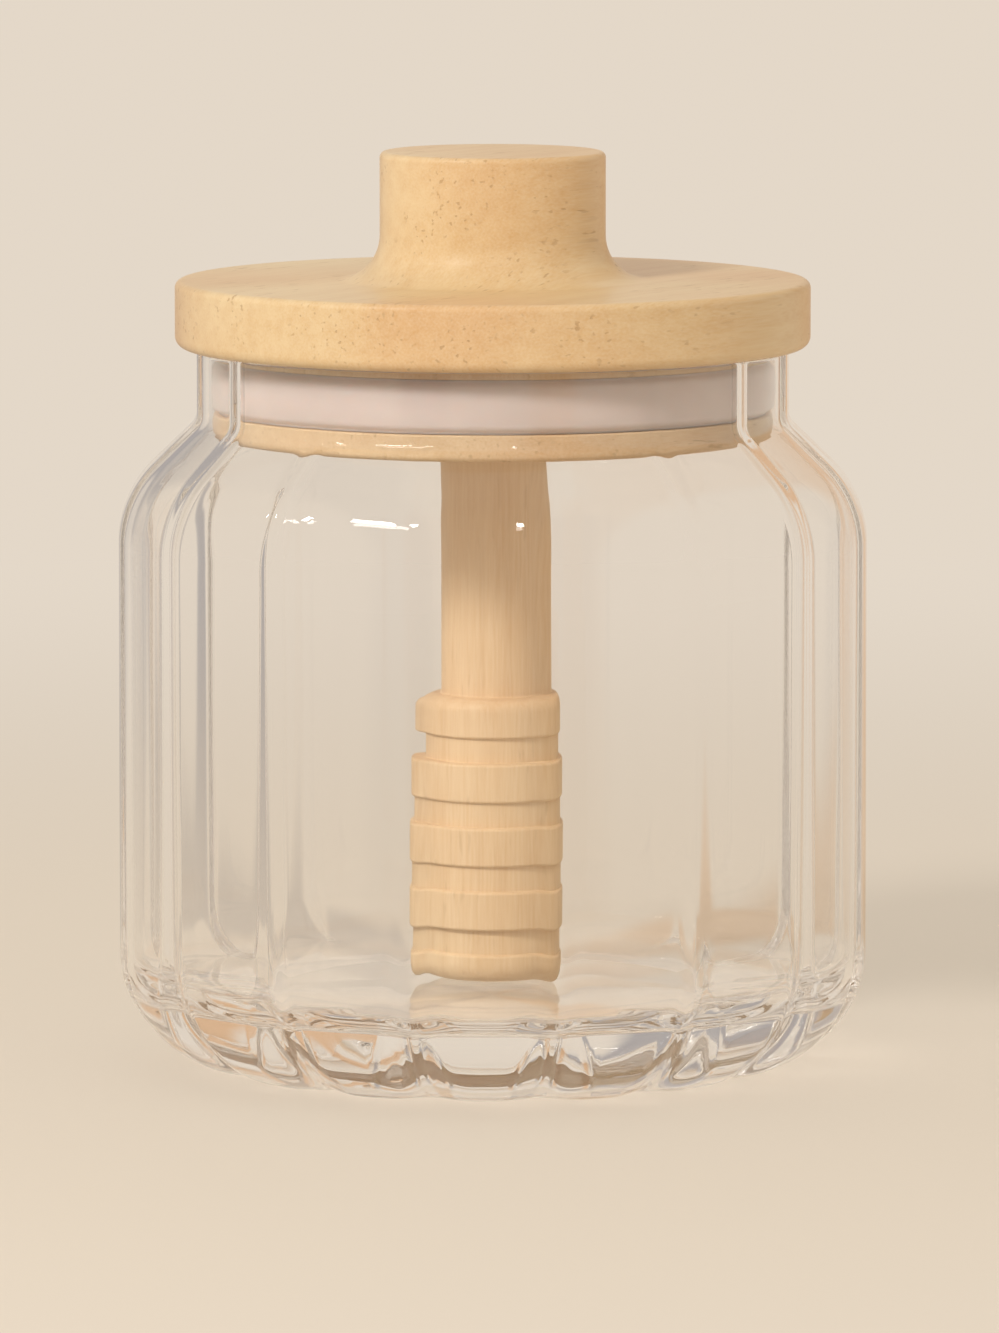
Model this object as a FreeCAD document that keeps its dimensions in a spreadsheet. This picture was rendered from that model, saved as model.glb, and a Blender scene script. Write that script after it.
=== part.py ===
import FreeCAD, Part
import math
import os
import re

import Sketcher

# A honey jar of fluted glass, with a turned wooden lid that carries a silicone ring and a dipper.
# The origin is under the middle of the base, on the table. +Z is up and -Y is the front.
# Lengths are in millimetres and angles in degrees.

SIZES = [
    # the glass jar, outside
    ("jar_height", 96.0, "rim above the table"),
    ("body_radius", 50.0, "crests of the flutes on the straight wall"),
    ("body_flute_depth", 0.4, "valley below crest on the straight wall"),
    ("neck_wall", 1.85, "glass between a crest of the neck and the mouth"),
    ("neck_flute_depth", 0.6, "valley below crest on the neck"),
    ("foot_flute_depth", 2.6, "valley below crest where the heel meets the table"),
    ("foot_rise", 21.0, "height at which the valleys start to widen towards the foot"),
    ("flute_count", 16, "flutes round the jar"),
    ("valley_share", 0.24, "part of a flute's width taken by the soft valley between two flutes"),
    ("foot_valley_share", 0.70, "the same part where the heel meets the table"),
    ("heel_radius", 15.0, "round between foot and wall"),
    ("shoulder_drop", 26.0, "from the rim down to where the wall starts to turn in"),
    ("shoulder_radius", 15.0, "round between wall and shoulder slope"),
    ("shoulder_angle", 46.0, "turn of the shoulder before its slope"),
    ("root_radius", 2.5, "hollow round between shoulder slope and neck"),
    ("lip_round", 0.6, "round on both edges of the rim"),
    ("push_up", 1.2, "rise of the hollow under the base"),
    ("bearing_width", 6.0, "flat ring round the hollow that the jar stands on"),
    # the glass jar, inside
    ("wall", 1.8, "glass between a crest and the inside"),
    ("inner_flute_depth", 0.15, "valley below crest inside the straight wall"),
    ("mouth_radius", 37.65, "round bore of the neck"),
    ("floor_thickness", 10.6, "inside of the floor above the table"),
    ("inner_heel_radius", 5.0, "round between floor and inside of the wall"),
    # the lid
    ("rest_gap", 0.05, "lid above the rim"),
    ("lid_overhang", 2.85, "disc beyond the crests of the neck"),
    ("lid_thickness", 8.9, "disc"),
    ("lid_top_round", 1.0, "upper edge of the disc"),
    ("lid_bottom_round", 1.5, "lower edge of the disc"),
    ("knob_radius", 15.05, "knob"),
    ("knob_height", 17.1, "knob above the disc"),
    ("knob_fillet", 6.0, "hollow round at the foot of the knob"),
    ("knob_round", 0.8, "upper edge of the knob"),
    # the plug under the lid
    ("plug_clearance", 0.45, "plug inside the mouth, each side"),
    ("plug_round", 0.8, "lower edge of the plug"),
    ("collar_height", 1.2, "plug above the ring's groove"),
    ("groove_height", 7.2, "groove of the silicone ring"),
    ("groove_depth", 2.2, "groove of the silicone ring"),
    ("flange_height", 4.1, "plug below the ring's groove"),
    # the silicone ring
    ("ring_fit", 0.05, "silicone ring inside the mouth, each side"),
    ("ring_play", 0.08, "silicone ring over the bottom of its groove, each side"),
    ("ring_end_play", 0.1, "silicone ring from each side of its groove"),
    ("ring_round", 1.1, "outer edges of the silicone ring"),
    # the dipper
    ("stem_radius", 6.9, "stem"),
    ("dipper_gap", 1.0, "dipper above the floor"),
    ("bead_count", 5, "beads of the dipper's head"),
    ("bead_pitch", 8.55, "from one bead to the next"),
    ("bead_height", 5.2, "each bead but the last"),
    ("tip_height", 3.8, "last bead"),
    ("bead_radius", 10.35, "widest bead"),
    ("bead_taper", 1.0, "first bead smaller than the widest"),
    ("widest_bead", 2.4, "place of the widest bead, counted from 0 at the top"),
    ("cut_depth", 0.6, "cuts between the beads"),
    ("bead_round", 0.4, "edges of the beads"),
    ("head_round", 1.7, "upper edge of the first bead"),
    ("tip_round", 2.5, "lower edge of the last bead"),
    # the screw that holds the dipper
    ("screw_length", 34.0, "from the top of the head to the point"),
    ("screw_radius", 2.0, "shank"),
    ("screw_head_radius", 4.0, "countersunk head"),
    ("screw_point", 4.0, "length of the point"),
    ("recess_width", 0.9, "each arm of the cross recess"),
    ("recess_reach", 2.3, "cross recess from the axis"),
    ("recess_depth", 1.8, "cross recess"),
    ("screw_sink", 0.3, "screw head below the top of the plug"),
    ("pilot_play", 0.05, "hole round the screw, each side"),
]

doc = FreeCAD.newDocument("honey_dispenser")
sheet = doc.addObject("Spreadsheet::Sheet", "sizes")
for row, (alias, value, note) in enumerate(SIZES, start=1):
    sheet.set(f"A{row}", note)
    sheet.set(f"B{row}", str(value))
    sheet.setAlias(f"B{row}", alias)
doc.recompute()


def size(name):
    return float(sheet.get(name))


def bound(text):
    """The same expression with the sheet's name before each size."""
    return re.sub(r"[a-z]+(?:_[a-z]+)+", lambda found: "sizes." + found.group(0), text)


def worth(text):
    return float(sheet.evalExpression(bound(text)))


# Levels that several pieces share, as expressions of the sizes.
NECK_RADIUS = "mouth_radius + neck_wall"
SHOULDER_LEVEL = "jar_height - shoulder_drop"
FOOT_RADIUS = "body_radius - heel_radius"
UNDERSIDE = "jar_height + rest_gap"
LID_TOP = f"{UNDERSIDE} + lid_thickness"
LID_RADIUS = f"{NECK_RADIUS} + lid_overhang"
KNOB_TOP = f"{LID_TOP} + knob_height"
PLUG_RADIUS = "mouth_radius - plug_clearance"
GROOVE_TOP = f"{UNDERSIDE} - collar_height"
GROOVE_BOTTOM = f"{GROOVE_TOP} - groove_height"
PLUG_BOTTOM = f"{GROOVE_BOTTOM} - flange_height"
GROOVE_RADIUS = f"{PLUG_RADIUS} - groove_depth"
DIPPER_BOTTOM = "floor_thickness + dipper_gap"
SCREW_TOP = f"{UNDERSIDE} - screw_sink"
SCREW_END = f"{SCREW_TOP} - screw_length"
SCREW_NECK = f"{SCREW_TOP} - (screw_head_radius - screw_radius)"


def plane(body, role):
    for feature in body.Origin.OriginFeatures:
        if feature.Role == role:
            return feature
    raise ValueError(f"{body.Label} has no {role}")


def sketched(body, name, role, corners):
    """A closed outline of straight lines, each corner held at its own two expressions."""
    sketch = body.newObject("Sketcher::SketchObject", name)
    sketch.AttachmentSupport = (plane(body, role), [""])
    sketch.MapMode = "FlatFace"
    places = [FreeCAD.Vector(worth(across), worth(up), 0) for across, up in corners]
    for index, start in enumerate(places):
        sketch.addGeometry(Part.LineSegment(start, places[(index + 1) % len(places)]), False)
    for index, (across, up) in enumerate(corners):
        following = (index + 1) % len(corners)
        sketch.addConstraint(Sketcher.Constraint("Coincident", index, 2, following, 1))
        for kind, text, axis in (("DistanceX", across, -2), ("DistanceY", up, -1)):
            if text == "0":
                sketch.addConstraint(Sketcher.Constraint("PointOnObject", index, 1, axis))
                continue
            number = sketch.addConstraint(Sketcher.Constraint(kind, -1, 1, index, 1, worth(text)))
            sketch.setExpression(f"Constraints[{number}]", bound(text))
    return sketch


def turned(name, corners):
    """A piece turned on a lathe: the outline goes once round the Z axis."""
    body = doc.addObject("PartDesign::Body", name)
    sketch = sketched(body, name + "_outline", "XZ_Plane", corners)
    turning = body.newObject("PartDesign::Revolution", name + "_turning")
    turning.Profile = sketch
    turning.ReferenceAxis = (sketch, ["V_Axis"])
    turning.Angle = 360
    doc.recompute()
    return body


def bored(body, name, corners):
    """Takes the outline, turned round the Z axis, out of the piece."""
    sketch = sketched(body, name + "_outline", "XZ_Plane", corners)
    boring = body.newObject("PartDesign::Groove", name)
    before = body.Shape.Volume
    boring.Profile = sketch
    boring.ReferenceAxis = (sketch, ["V_Axis"])
    boring.Angle = 360
    doc.recompute()
    if body.Shape.Volume >= before:
        raise ValueError(f"{name} takes nothing away")


EDGE_TOLERANCE = 1e-4


def rounded(body, name, radius, rings):
    """Rounds the circular edges found at the given radii and levels."""
    base = body.Tip
    wanted = [(worth(across), worth(up)) for across, up in rings]
    edges = []
    for number, edge in enumerate(base.Shape.Edges, start=1):
        if not isinstance(edge.Curve, Part.Circle):
            continue
        found = (edge.Curve.Radius, edge.Curve.Center.z)
        if any(math.dist(found, place) < EDGE_TOLERANCE for place in wanted):
            edges.append(f"Edge{number}")
    if len(edges) < len(wanted):
        raise ValueError(f"{name} finds {len(edges)} of {len(wanted)} edges")
    feature = body.newObject("PartDesign::Fillet", name)
    feature.Base = (base, edges)
    feature.setExpression("Radius", bound(radius))
    doc.recompute()


# The jar is fluted all the way up, so it is lofted through level rings.
# A ring has one convex arc for each flute and one soft arc in each valley.
# The steps say how many rings follow each part of the upright outline.
HEEL_STEPS = 7
WALL_STEPS = 8
SHOULDER_STEPS = 5
ROOT_STEPS = 3
NECK_STEPS = 5
LIP_STEPS = 3
CENTRE_TOLERANCE = 1e-7


def flute_centre(crest, valley, half, joint):
    """How far from the axis the centre of a flute's arc lies, found by halving.

    The arc leaves the crest and ends at the polar angle joint, where the valley's arc takes
    over with the same tangent and reaches the middle of the valley square to the radius.
    """
    low, high = 0.0, crest
    while high - low > CENTRE_TOLERANCE:
        middle = (low + high) / 2
        reach = middle * math.cos(joint) + math.sqrt((crest - middle) ** 2 - (middle * math.sin(joint)) ** 2)
        across, up = reach * math.cos(joint), reach * math.sin(joint)
        lean = math.atan2(up, across - middle)
        chord = (lean + half) / 2 + math.pi / 2
        bottom = (across * math.sin(chord) - up * math.cos(chord)) / math.sin(chord - half)
        if bottom > valley:
            low = middle
        else:
            high = middle
    return low


def foot_opening(level):
    """0 above the rise, 1 on the table and a smooth rise between them."""
    share = min(1.0, max(0.0, 1 - level / size("foot_rise")))
    return share * share * (3 - 2 * share)


def ring(crest, depth, valley, level):
    """A fluted ring: the closed wire at one level of the jar."""
    count = int(size("flute_count"))
    half = math.pi / count
    joint = half * (1 - valley)
    centre = flute_centre(crest, crest - depth, half, joint)
    reach = centre * math.cos(joint) + math.sqrt((crest - centre) ** 2 - (centre * math.sin(joint)) ** 2)

    def place(radius, angle):
        return FreeCAD.Vector(radius * math.cos(angle), radius * math.sin(angle), level)

    edges = []
    for number in range(count):
        top = 2 * half * number - math.pi / 2
        edges.append(Part.Arc(place(reach, top - joint), place(crest, top), place(reach, top + joint)))
        bottom = top + half
        edges.append(Part.Arc(
            place(reach, top + joint), place(crest - depth, bottom), place(reach, bottom + half - joint)))
    return Part.Wire([edge.toShape() for edge in edges])


def arc_places(centre, radius, first, last, steps):
    """Places (radius, level) along an arc of the jar's upright outline."""
    places = []
    for step in range(steps + 1):
        angle = math.radians(first + (last - first) * step / steps)
        places.append((centre[0] + radius * math.cos(angle), centre[1] + radius * math.sin(angle)))
    return places


def wall_places(radius, low, high, steps):
    """Places up a straight wall, closer together near its ends so that the loft stays straight."""
    shares = [(1 - math.cos(math.pi * step / steps)) / 2 for step in range(1, steps)]
    return [(radius, low + (high - low) * share) for share in shares]


def shoulder_and_neck(inset, neck, root):
    """Outline from the wall, over the shoulder and up its slope, into a straight neck.

    The inset is how far inside the jar's crests the outline runs.
    """
    turn = size("shoulder_angle")
    slope = math.radians(turn)
    middle = (size("body_radius") - size("shoulder_radius"), worth(SHOULDER_LEVEL))
    over = arc_places(middle, size("shoulder_radius") - inset, 0, turn, SHOULDER_STEPS)
    leave = over[-1]
    enter = neck + root * (1 - math.cos(slope))
    run = (leave[0] - enter) / math.sin(slope)
    level = leave[1] + run * math.cos(slope) + root * math.sin(slope)
    into = arc_places((neck + root, level), root, 180 + turn, 180, ROOT_STEPS)
    between = ((leave[0] + into[0][0]) / 2, (leave[1] + into[0][1]) / 2)
    top = size("jar_height") - size("lip_round")
    return over + [between] + into + wall_places(neck, level, top, NECK_STEPS)


def outside_places():
    heel = size("heel_radius")
    lip = size("lip_round")
    body = size("body_radius")
    neck = worth(NECK_RADIUS)
    places = arc_places((body - heel, heel), heel, -90, 0, HEEL_STEPS)
    places += wall_places(body, heel, worth(SHOULDER_LEVEL), WALL_STEPS)
    places += shoulder_and_neck(0, neck, size("root_radius"))
    places += arc_places((neck - lip, size("jar_height") - lip), lip, 0, 90, LIP_STEPS)
    return places


def outside_depth(radius, level):
    """Valley depth: shallow on the wall, and deeper on the neck and towards the foot."""
    body = size("body_radius")
    full = size("body_flute_depth")
    if level < size("foot_rise"):
        return full + (size("foot_flute_depth") - full) * foot_opening(level)
    neck = worth(NECK_RADIUS)
    share = max(0.0, (radius - neck) / (body - neck))
    return size("neck_flute_depth") + (full - size("neck_flute_depth")) * share


def inside_places():
    wall = size("wall")
    heel = size("inner_heel_radius")
    floor = size("floor_thickness")
    lip = size("lip_round")
    mouth = size("mouth_radius")
    inner = size("body_radius") - wall
    places = arc_places((inner - heel, floor + heel), heel, -90, 0, HEEL_STEPS)
    places += wall_places(inner, floor + heel, worth(SHOULDER_LEVEL), WALL_STEPS)
    places += shoulder_and_neck(wall, mouth, size("root_radius") + wall)
    places += arc_places((mouth + lip, size("jar_height") - lip), lip, 180, 90, LIP_STEPS)
    return places


def outside_valley(level):
    """Share of the soft valleys outside: the same all the way up, and wider towards the foot."""
    narrow = size("valley_share")
    return narrow + (size("foot_valley_share") - narrow) * foot_opening(level)


def inside_valley(level):
    """Share of the soft valleys inside: the same at every level."""
    return size("valley_share")


def inside_depth(radius, level):
    """Valley depth inside: full on the wall, none on the floor or in the round mouth."""
    inner = size("body_radius") - size("wall")
    edge = size("mouth_radius")
    if level < worth(SHOULDER_LEVEL):
        edge = inner - size("inner_heel_radius")
    share = max(0.0, (radius - edge) / (inner - edge))
    if level > worth(PLUG_BOTTOM):
        share = 0.0
    return size("inner_flute_depth") * share


def lofted(name, places, depth, valley):
    """A skin through one fluted ring for each place of the outline, open at both ends."""
    rings = []
    for number, (radius, level) in enumerate(places):
        wire = doc.addObject("Part::Feature", f"{name}_ring_{number}")
        wire.Shape = ring(radius, depth(radius, level), valley(level), level)
        rings.append(wire)
    skin = doc.addObject("Part::Loft", name)
    skin.Sections = rings
    skin.Solid = False
    skin.Ruled = False
    doc.recompute()
    return skin


def make_jar():
    """Glass jar: two fluted skins closed by base, floor and rim, less the hollow under the base."""
    outside = lofted("jar_outside", outside_places(), outside_depth, outside_valley)
    inside = lofted("jar_inside", inside_places(), inside_depth, inside_valley)
    base = Part.Face(outside.Sections[0].Shape)
    floor = Part.Face(inside.Sections[0].Shape)
    rim = Part.Face([outside.Sections[-1].Shape, inside.Sections[-1].Shape.reversed()])
    skins = outside.Shape.Faces + inside.Shape.Faces
    glass = doc.addObject("Part::Feature", "jar_glass")
    glass.Shape = Part.Solid(Part.Shell(skins + [base, floor, rim]))
    if glass.Shape.Volume < 0:
        glass.Shape = glass.Shape.reversed()
    dome = doc.addObject("Part::Sphere", "push_up_dome")
    curve = f"(({FOOT_RADIUS} - bearing_width)^2 + push_up^2) / (2 * push_up)"
    dome.setExpression("Radius", bound(curve))
    dome.setExpression("Placement.Base.z", bound(f"push_up - {curve}"))
    jar = doc.addObject("Part::Cut", "glass_jar")
    jar.Base = glass
    jar.Tool = dome
    doc.recompute()
    return jar


def make_lid():
    """Wooden disc and knob, turned in one piece."""
    lid = turned("lid", [
        ("0", UNDERSIDE), (LID_RADIUS, UNDERSIDE), (LID_RADIUS, LID_TOP),
        ("knob_radius", LID_TOP), ("knob_radius", KNOB_TOP), ("0", KNOB_TOP)])
    rounded(lid, "knob_foot", "knob_fillet", [("knob_radius", LID_TOP)])
    rounded(lid, "knob_edge", "knob_round", [("knob_radius", KNOB_TOP)])
    rounded(lid, "disc_top_edge", "lid_top_round", [(LID_RADIUS, LID_TOP)])
    rounded(lid, "disc_bottom_edge", "lid_bottom_round", [(LID_RADIUS, UNDERSIDE)])
    return lid


def make_plug():
    """Wooden plug under the disc, with the ring's groove and the sunk hole of the screw."""
    plug = turned("lid_plug", [
        ("0", UNDERSIDE), (PLUG_RADIUS, UNDERSIDE), (PLUG_RADIUS, GROOVE_TOP),
        (GROOVE_RADIUS, GROOVE_TOP), (GROOVE_RADIUS, GROOVE_BOTTOM), (PLUG_RADIUS, GROOVE_BOTTOM),
        (PLUG_RADIUS, PLUG_BOTTOM), ("0", PLUG_BOTTOM)])
    rounded(plug, "plug_edge", "plug_round", [(PLUG_RADIUS, PLUG_BOTTOM)])
    bored(plug, "screw_hole", [
        ("0", UNDERSIDE), ("screw_head_radius + pilot_play", UNDERSIDE),
        ("screw_head_radius + pilot_play", SCREW_TOP), ("screw_radius + pilot_play", SCREW_NECK),
        ("screw_radius + pilot_play", PLUG_BOTTOM), ("0", PLUG_BOTTOM)])
    return plug


def make_ring():
    """Silicone ring that lies in the plug's groove and grips the mouth."""
    inner = f"{GROOVE_RADIUS} + ring_play"
    outer = "mouth_radius - ring_fit"
    top = f"{GROOVE_TOP} - ring_end_play"
    bottom = f"{GROOVE_BOTTOM} + ring_end_play"
    seal = turned("silicone_ring", [(inner, top), (outer, top), (outer, bottom), (inner, bottom)])
    rounded(seal, "ring_edges", "ring_round", [(outer, top), (outer, bottom)])
    return seal


def bead_reach(number):
    """Radius of a bead: the beads swell by a parabola towards the widest one."""
    return f"bead_radius - bead_taper * ((widest_bead - {number}) / widest_bead)^2"


def make_dipper():
    """Dipper: a stem and a head of beads with cuts between them, turned in one piece."""
    count = int(size("bead_count"))
    head_top = f"{DIPPER_BOTTOM} + {count - 1} * bead_pitch + tip_height"
    corners = [("0", PLUG_BOTTOM), ("stem_radius", PLUG_BOTTOM), ("stem_radius", head_top)]
    edges = []
    for number in range(count):
        wide = bead_reach(number)
        top = f"{head_top} - {number} * bead_pitch"
        last = number == count - 1
        bottom = DIPPER_BOTTOM if last else f"{top} - bead_height"
        corners += [(wide, top), (wide, bottom)]
        if number:
            edges.append((wide, top))
        if not last:
            edges.append((wide, bottom))
            narrow = f"min({wide}; {bead_reach(number + 1)}) - cut_depth"
            corners += [(narrow, bottom), (narrow, f"{top} - bead_pitch")]
    corners.append(("0", DIPPER_BOTTOM))
    dipper = turned("dipper", corners)
    rounded(dipper, "bead_edges", "bead_round", edges)
    rounded(dipper, "head_edge", "head_round", [(bead_reach(0), head_top)])
    rounded(dipper, "tip_edge", "tip_round", [(wide, DIPPER_BOTTOM)])
    bored(dipper, "pilot_hole", [
        ("0", PLUG_BOTTOM), ("screw_radius + pilot_play", PLUG_BOTTOM),
        ("screw_radius + pilot_play", f"{SCREW_END} + screw_point"), ("0", f"{SCREW_END} - pilot_play")])
    return dipper


def make_screw():
    """Countersunk wood screw that pulls the dipper up against the plug."""
    screw = turned("dipper_screw", [
        ("0", SCREW_TOP), ("screw_head_radius", SCREW_TOP), ("screw_radius", SCREW_NECK),
        ("screw_radius", f"{SCREW_END} + screw_point"), ("0", SCREW_END)])
    before = screw.Shape.Volume
    half = "recess_width / 2"
    for name, across, up in (("long", "recess_reach", half), ("cross", half, "recess_reach")):
        corners = [(f"-({across})", f"-({up})"), (across, f"-({up})"), (across, up), (f"-({across})", up)]
        sketch = sketched(screw, f"recess_{name}", "XY_Plane", corners)
        sketch.setExpression("AttachmentOffset.Base.z", bound(SCREW_TOP))
        arm = screw.newObject("PartDesign::Pocket", f"recess_{name}_arm")
        arm.Profile = sketch
        arm.setExpression("Length", bound("recess_depth"))
        doc.recompute()
    if screw.Shape.Volume >= before:
        raise ValueError("the cross recess takes nothing away")
    return screw


pieces = [make_jar(), make_lid(), make_plug(), make_ring(), make_dipper(), make_screw()]
doc.recompute()

for item in doc.Objects:
    if "Invalid" in item.State or "Error" in item.State:
        raise RuntimeError(f"{item.Label} did not come out: {item.State}")

os.makedirs("parts", exist_ok=True)
for piece in pieces:
    if piece.Shape.isNull() or not piece.Shape.isValid() or len(piece.Shape.Solids) != 1:
        raise RuntimeError(f"{piece.Label} is not one sound solid")
for piece in pieces:
    piece.Shape.exportStep(f"parts/{piece.Label}.step")
    box = piece.Shape.BoundBox
    print(f"{piece.Label}: volume {piece.Shape.Volume:.1f}, "
          f"from ({box.XMin:.2f}, {box.YMin:.2f}, {box.ZMin:.2f}) "
          f"to ({box.XMax:.2f}, {box.YMax:.2f}, {box.ZMax:.2f})")
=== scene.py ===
"""A honey jar of fluted glass with a turned wooden lid, a silicone ring and a dipper."""
import math

import bpy
import numpy as np
from bpy.props import FloatProperty, FloatVectorProperty, IntProperty, PointerProperty
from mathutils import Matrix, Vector


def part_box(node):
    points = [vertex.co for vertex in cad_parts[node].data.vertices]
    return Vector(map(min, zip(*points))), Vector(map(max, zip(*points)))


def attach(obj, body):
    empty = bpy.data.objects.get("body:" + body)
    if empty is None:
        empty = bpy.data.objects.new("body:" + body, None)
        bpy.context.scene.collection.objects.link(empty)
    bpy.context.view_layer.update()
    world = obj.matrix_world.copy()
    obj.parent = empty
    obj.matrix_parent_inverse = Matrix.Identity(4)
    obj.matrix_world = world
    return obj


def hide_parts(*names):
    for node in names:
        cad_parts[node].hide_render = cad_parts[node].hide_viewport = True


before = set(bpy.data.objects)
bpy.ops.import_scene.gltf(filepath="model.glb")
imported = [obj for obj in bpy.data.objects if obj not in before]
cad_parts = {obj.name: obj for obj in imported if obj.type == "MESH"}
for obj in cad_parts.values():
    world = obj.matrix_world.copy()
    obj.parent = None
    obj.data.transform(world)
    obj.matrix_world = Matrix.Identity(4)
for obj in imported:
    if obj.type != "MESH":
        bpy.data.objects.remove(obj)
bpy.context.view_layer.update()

bl_info = {
    "name": "Honey Jar",
    "version": (1, 0, 0),
    "blender": (4, 5, 0),
    "location": "View3D > Sidebar > Honey Jar",
    "description": "Dresses a fluted honey jar with glass, turned wood, silicone and steel",
    "category": "Add Mesh",
}

JAR_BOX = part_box("glass_jar")
LID_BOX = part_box("lid")
PLUG_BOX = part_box("lid_plug")
RING_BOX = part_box("silicone_ring")
DIPPER_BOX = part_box("dipper")
SCREW_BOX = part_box("dipper_screw")


def length(name, description, default):
    """A size in metres."""
    return FloatProperty(name=name, description=description, default=default, unit="LENGTH", precision=5)


def colour(name, description, default):
    """A linear colour."""
    return FloatVectorProperty(
        name=name, description=description, default=default, subtype="COLOR", size=3, min=0, max=1)


class HoneyJarGlassSizes(bpy.types.PropertyGroup):
    """Sizes of the glass jar with its upright grooves."""

    body_radius: length("Body Radius", "Straight wall between its grooves", JAR_BOX[1][0])
    body_groove: length("Body Groove", "Depth of the groove between flutes on the wall", 0.0005)
    neck_radius: length("Neck Radius", "Neck between its grooves", 0.0395)
    neck_groove: length("Neck Groove", "Depth of the groove between flutes on the neck", 0.0006)
    foot_groove: length("Foot Groove", "Depth of the groove between flutes at the foot", 0.0026)
    foot_spread: length("Foot Spread", "From the middle of a groove to its edge at the foot", 0.0060)
    foot_rise: length("Foot Rise", "Height at which the grooves start to widen towards the foot", 0.0210)
    groove_width: length("Groove Width", "From the middle of a groove to its edge", 0.0023)
    front_calm: FloatProperty(
        name="Front Calm", default=0.05, subtype="FACTOR", min=0, max=1,
        description="Share of its depth that a groove above the foot keeps in front and behind")
    flutes: IntProperty(name="Flutes", description="Flutes round the jar", default=16, min=6, max=40)
    heel_radius: length("Heel Radius", "Round between foot and wall", 0.0150)
    shoulder_drop: length("Shoulder Drop", "Rim down to the top of the straight wall", 0.0260)
    shoulder_radius: length("Shoulder Radius", "Round between wall and slope", 0.0150)
    shoulder_angle: FloatProperty(
        name="Shoulder Angle", description="Turn of the shoulder before its slope",
        default=math.radians(46), subtype="ANGLE")
    root_radius: length("Root Radius", "Hollow round between slope and neck", 0.0025)
    lip_round: length("Lip Round", "Round on both edges of the rim", 0.0006)
    push_up: length("Push-up", "Rise of the hollow under the base", 0.0012)
    bearing_width: length("Bearing Width", "Flat ring that the jar stands on", 0.0060)
    wall: length("Wall", "Glass between two grooves", 0.0018)
    mouth_radius: length("Mouth Radius", "Round bore of the neck", 0.03765)
    floor: length("Floor", "Inside of the floor above the table", 0.0106)
    floor_rise: length("Floor Rise", "Middle of the floor above its edge", 0.0004)
    inner_heel: length("Inner Heel", "Round between floor and inside of the wall", 0.0050)


class HoneyJarLidSizes(bpy.types.PropertyGroup):
    """Sizes of the turned lid, its plug and the silicone ring."""

    lid_round_top: length("Upper Edge", "Round on the upper edge of the disc", 0.0010)
    lid_round_low: length("Lower Edge", "Round on the lower edge of the disc", 0.0015)
    disc_height: length("Disc Height", "Thickness of the disc", 0.0089)
    knob_radius: length("Knob Radius", "Radius of the knob", 0.01505)
    knob_fillet: length("Knob Fillet", "Hollow round at the foot of the knob", 0.0060)
    knob_round: length("Knob Edge", "Round on the upper edge of the knob", 0.0008)
    collar: length("Collar", "Plug above the ring's groove", 0.0012)
    groove: length("Groove", "Height of the ring's groove", 0.0072)
    groove_depth: length("Groove Depth", "Depth of the ring's groove", 0.0022)
    plug_round: length("Plug Edge", "Round on the lower edge of the plug", 0.0008)
    ring_crown: length("Ring Crown", "Bulge of the ring's outer face", 0.00045)
    ring_thickness: length("Ring Thickness", "Wall of the silicone ring", 0.00252)
    ring_edge: length("Ring Edge", "Bevel on the inner edges of the ring", 0.0003)
    ring_land: length("Ring Land", "Flat of the ring's upper and lower side", 0.0015)
    ring_fall: length("Ring Fall", "Draw-in of the outer face at its edges", 0.0007)
    plug_edge: length("Crisp Edge", "Round on the edges of the ring's groove", 0.0002)


class HoneyJarDipperSizes(bpy.types.PropertyGroup):
    """Sizes of the dipper."""

    stem_radius: length("Stem Radius", "Radius of the stem", 0.0069)
    beads: IntProperty(name="Beads", description="Beads of the head", default=5, min=2, max=12)
    bead_pitch: length("Bead Pitch", "From one bead to the next", 0.00855)
    bead_height: length("Bead Height", "Each bead but the last", 0.0052)
    tip_height: length("Tip Height", "Last bead", 0.0038)
    bead_radius: length("Bead Radius", "Widest bead", 0.01035)
    bead_taper: length("Bead Taper", "First bead smaller than the widest", 0.0010)
    widest_bead: FloatProperty(
        name="Widest Bead", description="Place of the widest bead, from 0 at the top", default=2.4)
    cut_depth: length("Cut Depth", "Cuts between the beads", 0.0006)
    bead_round: length("Bead Round", "Edges of the beads", 0.0004)
    head_round: length("Head Round", "Upper edge of the first bead", 0.0017)
    tip_round: length("Tip Round", "Lower edge of the last bead", 0.0025)
    cut_edge: length("Cut Edge", "Rounds in the corners of the cuts", 0.00012)
    stem_root: length("Stem Root", "Round between stem and head", 0.0003)
    stem_round: length("Stem Edge", "Round on the upper end of the stem", 0.0002)


class HoneyJarScrewSizes(bpy.types.PropertyGroup):
    """Sizes of the screw that holds the dipper."""

    shank_radius: length("Shank Radius", "Plain neck and crest of the thread", 0.0020)
    thread_pitch: length("Thread Pitch", "Rise of the thread in one turn", 0.0018)
    thread_depth: length("Thread Depth", "Crest of the thread above the core", 0.0006)
    thread_end: length("Thread End", "Top of the head down to where the thread starts to run out", 0.0105)
    thread_fade: length("Thread Fade", "Length over which the thread runs out", 0.0012)
    point: length("Point", "Length of the pointed end", 0.0040)
    head_edge: length("Head Edge", "Upright edge of the countersunk head", 0.0002)
    cross_reach: length("Cross Reach", "Half the length of the cross recess", 0.0022)
    cross_slope: length("Cross Slope", "Half the length of the slope at its ends", 0.0004)
    cross_width: length("Cross Width", "Half the width of each arm", 0.0005)
    cross_flank: length("Cross Flank", "Half the width of the slope at its sides", 0.00012)
    cross_depth: length("Cross Depth", "Depth of the cross recess", 0.0018)


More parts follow.
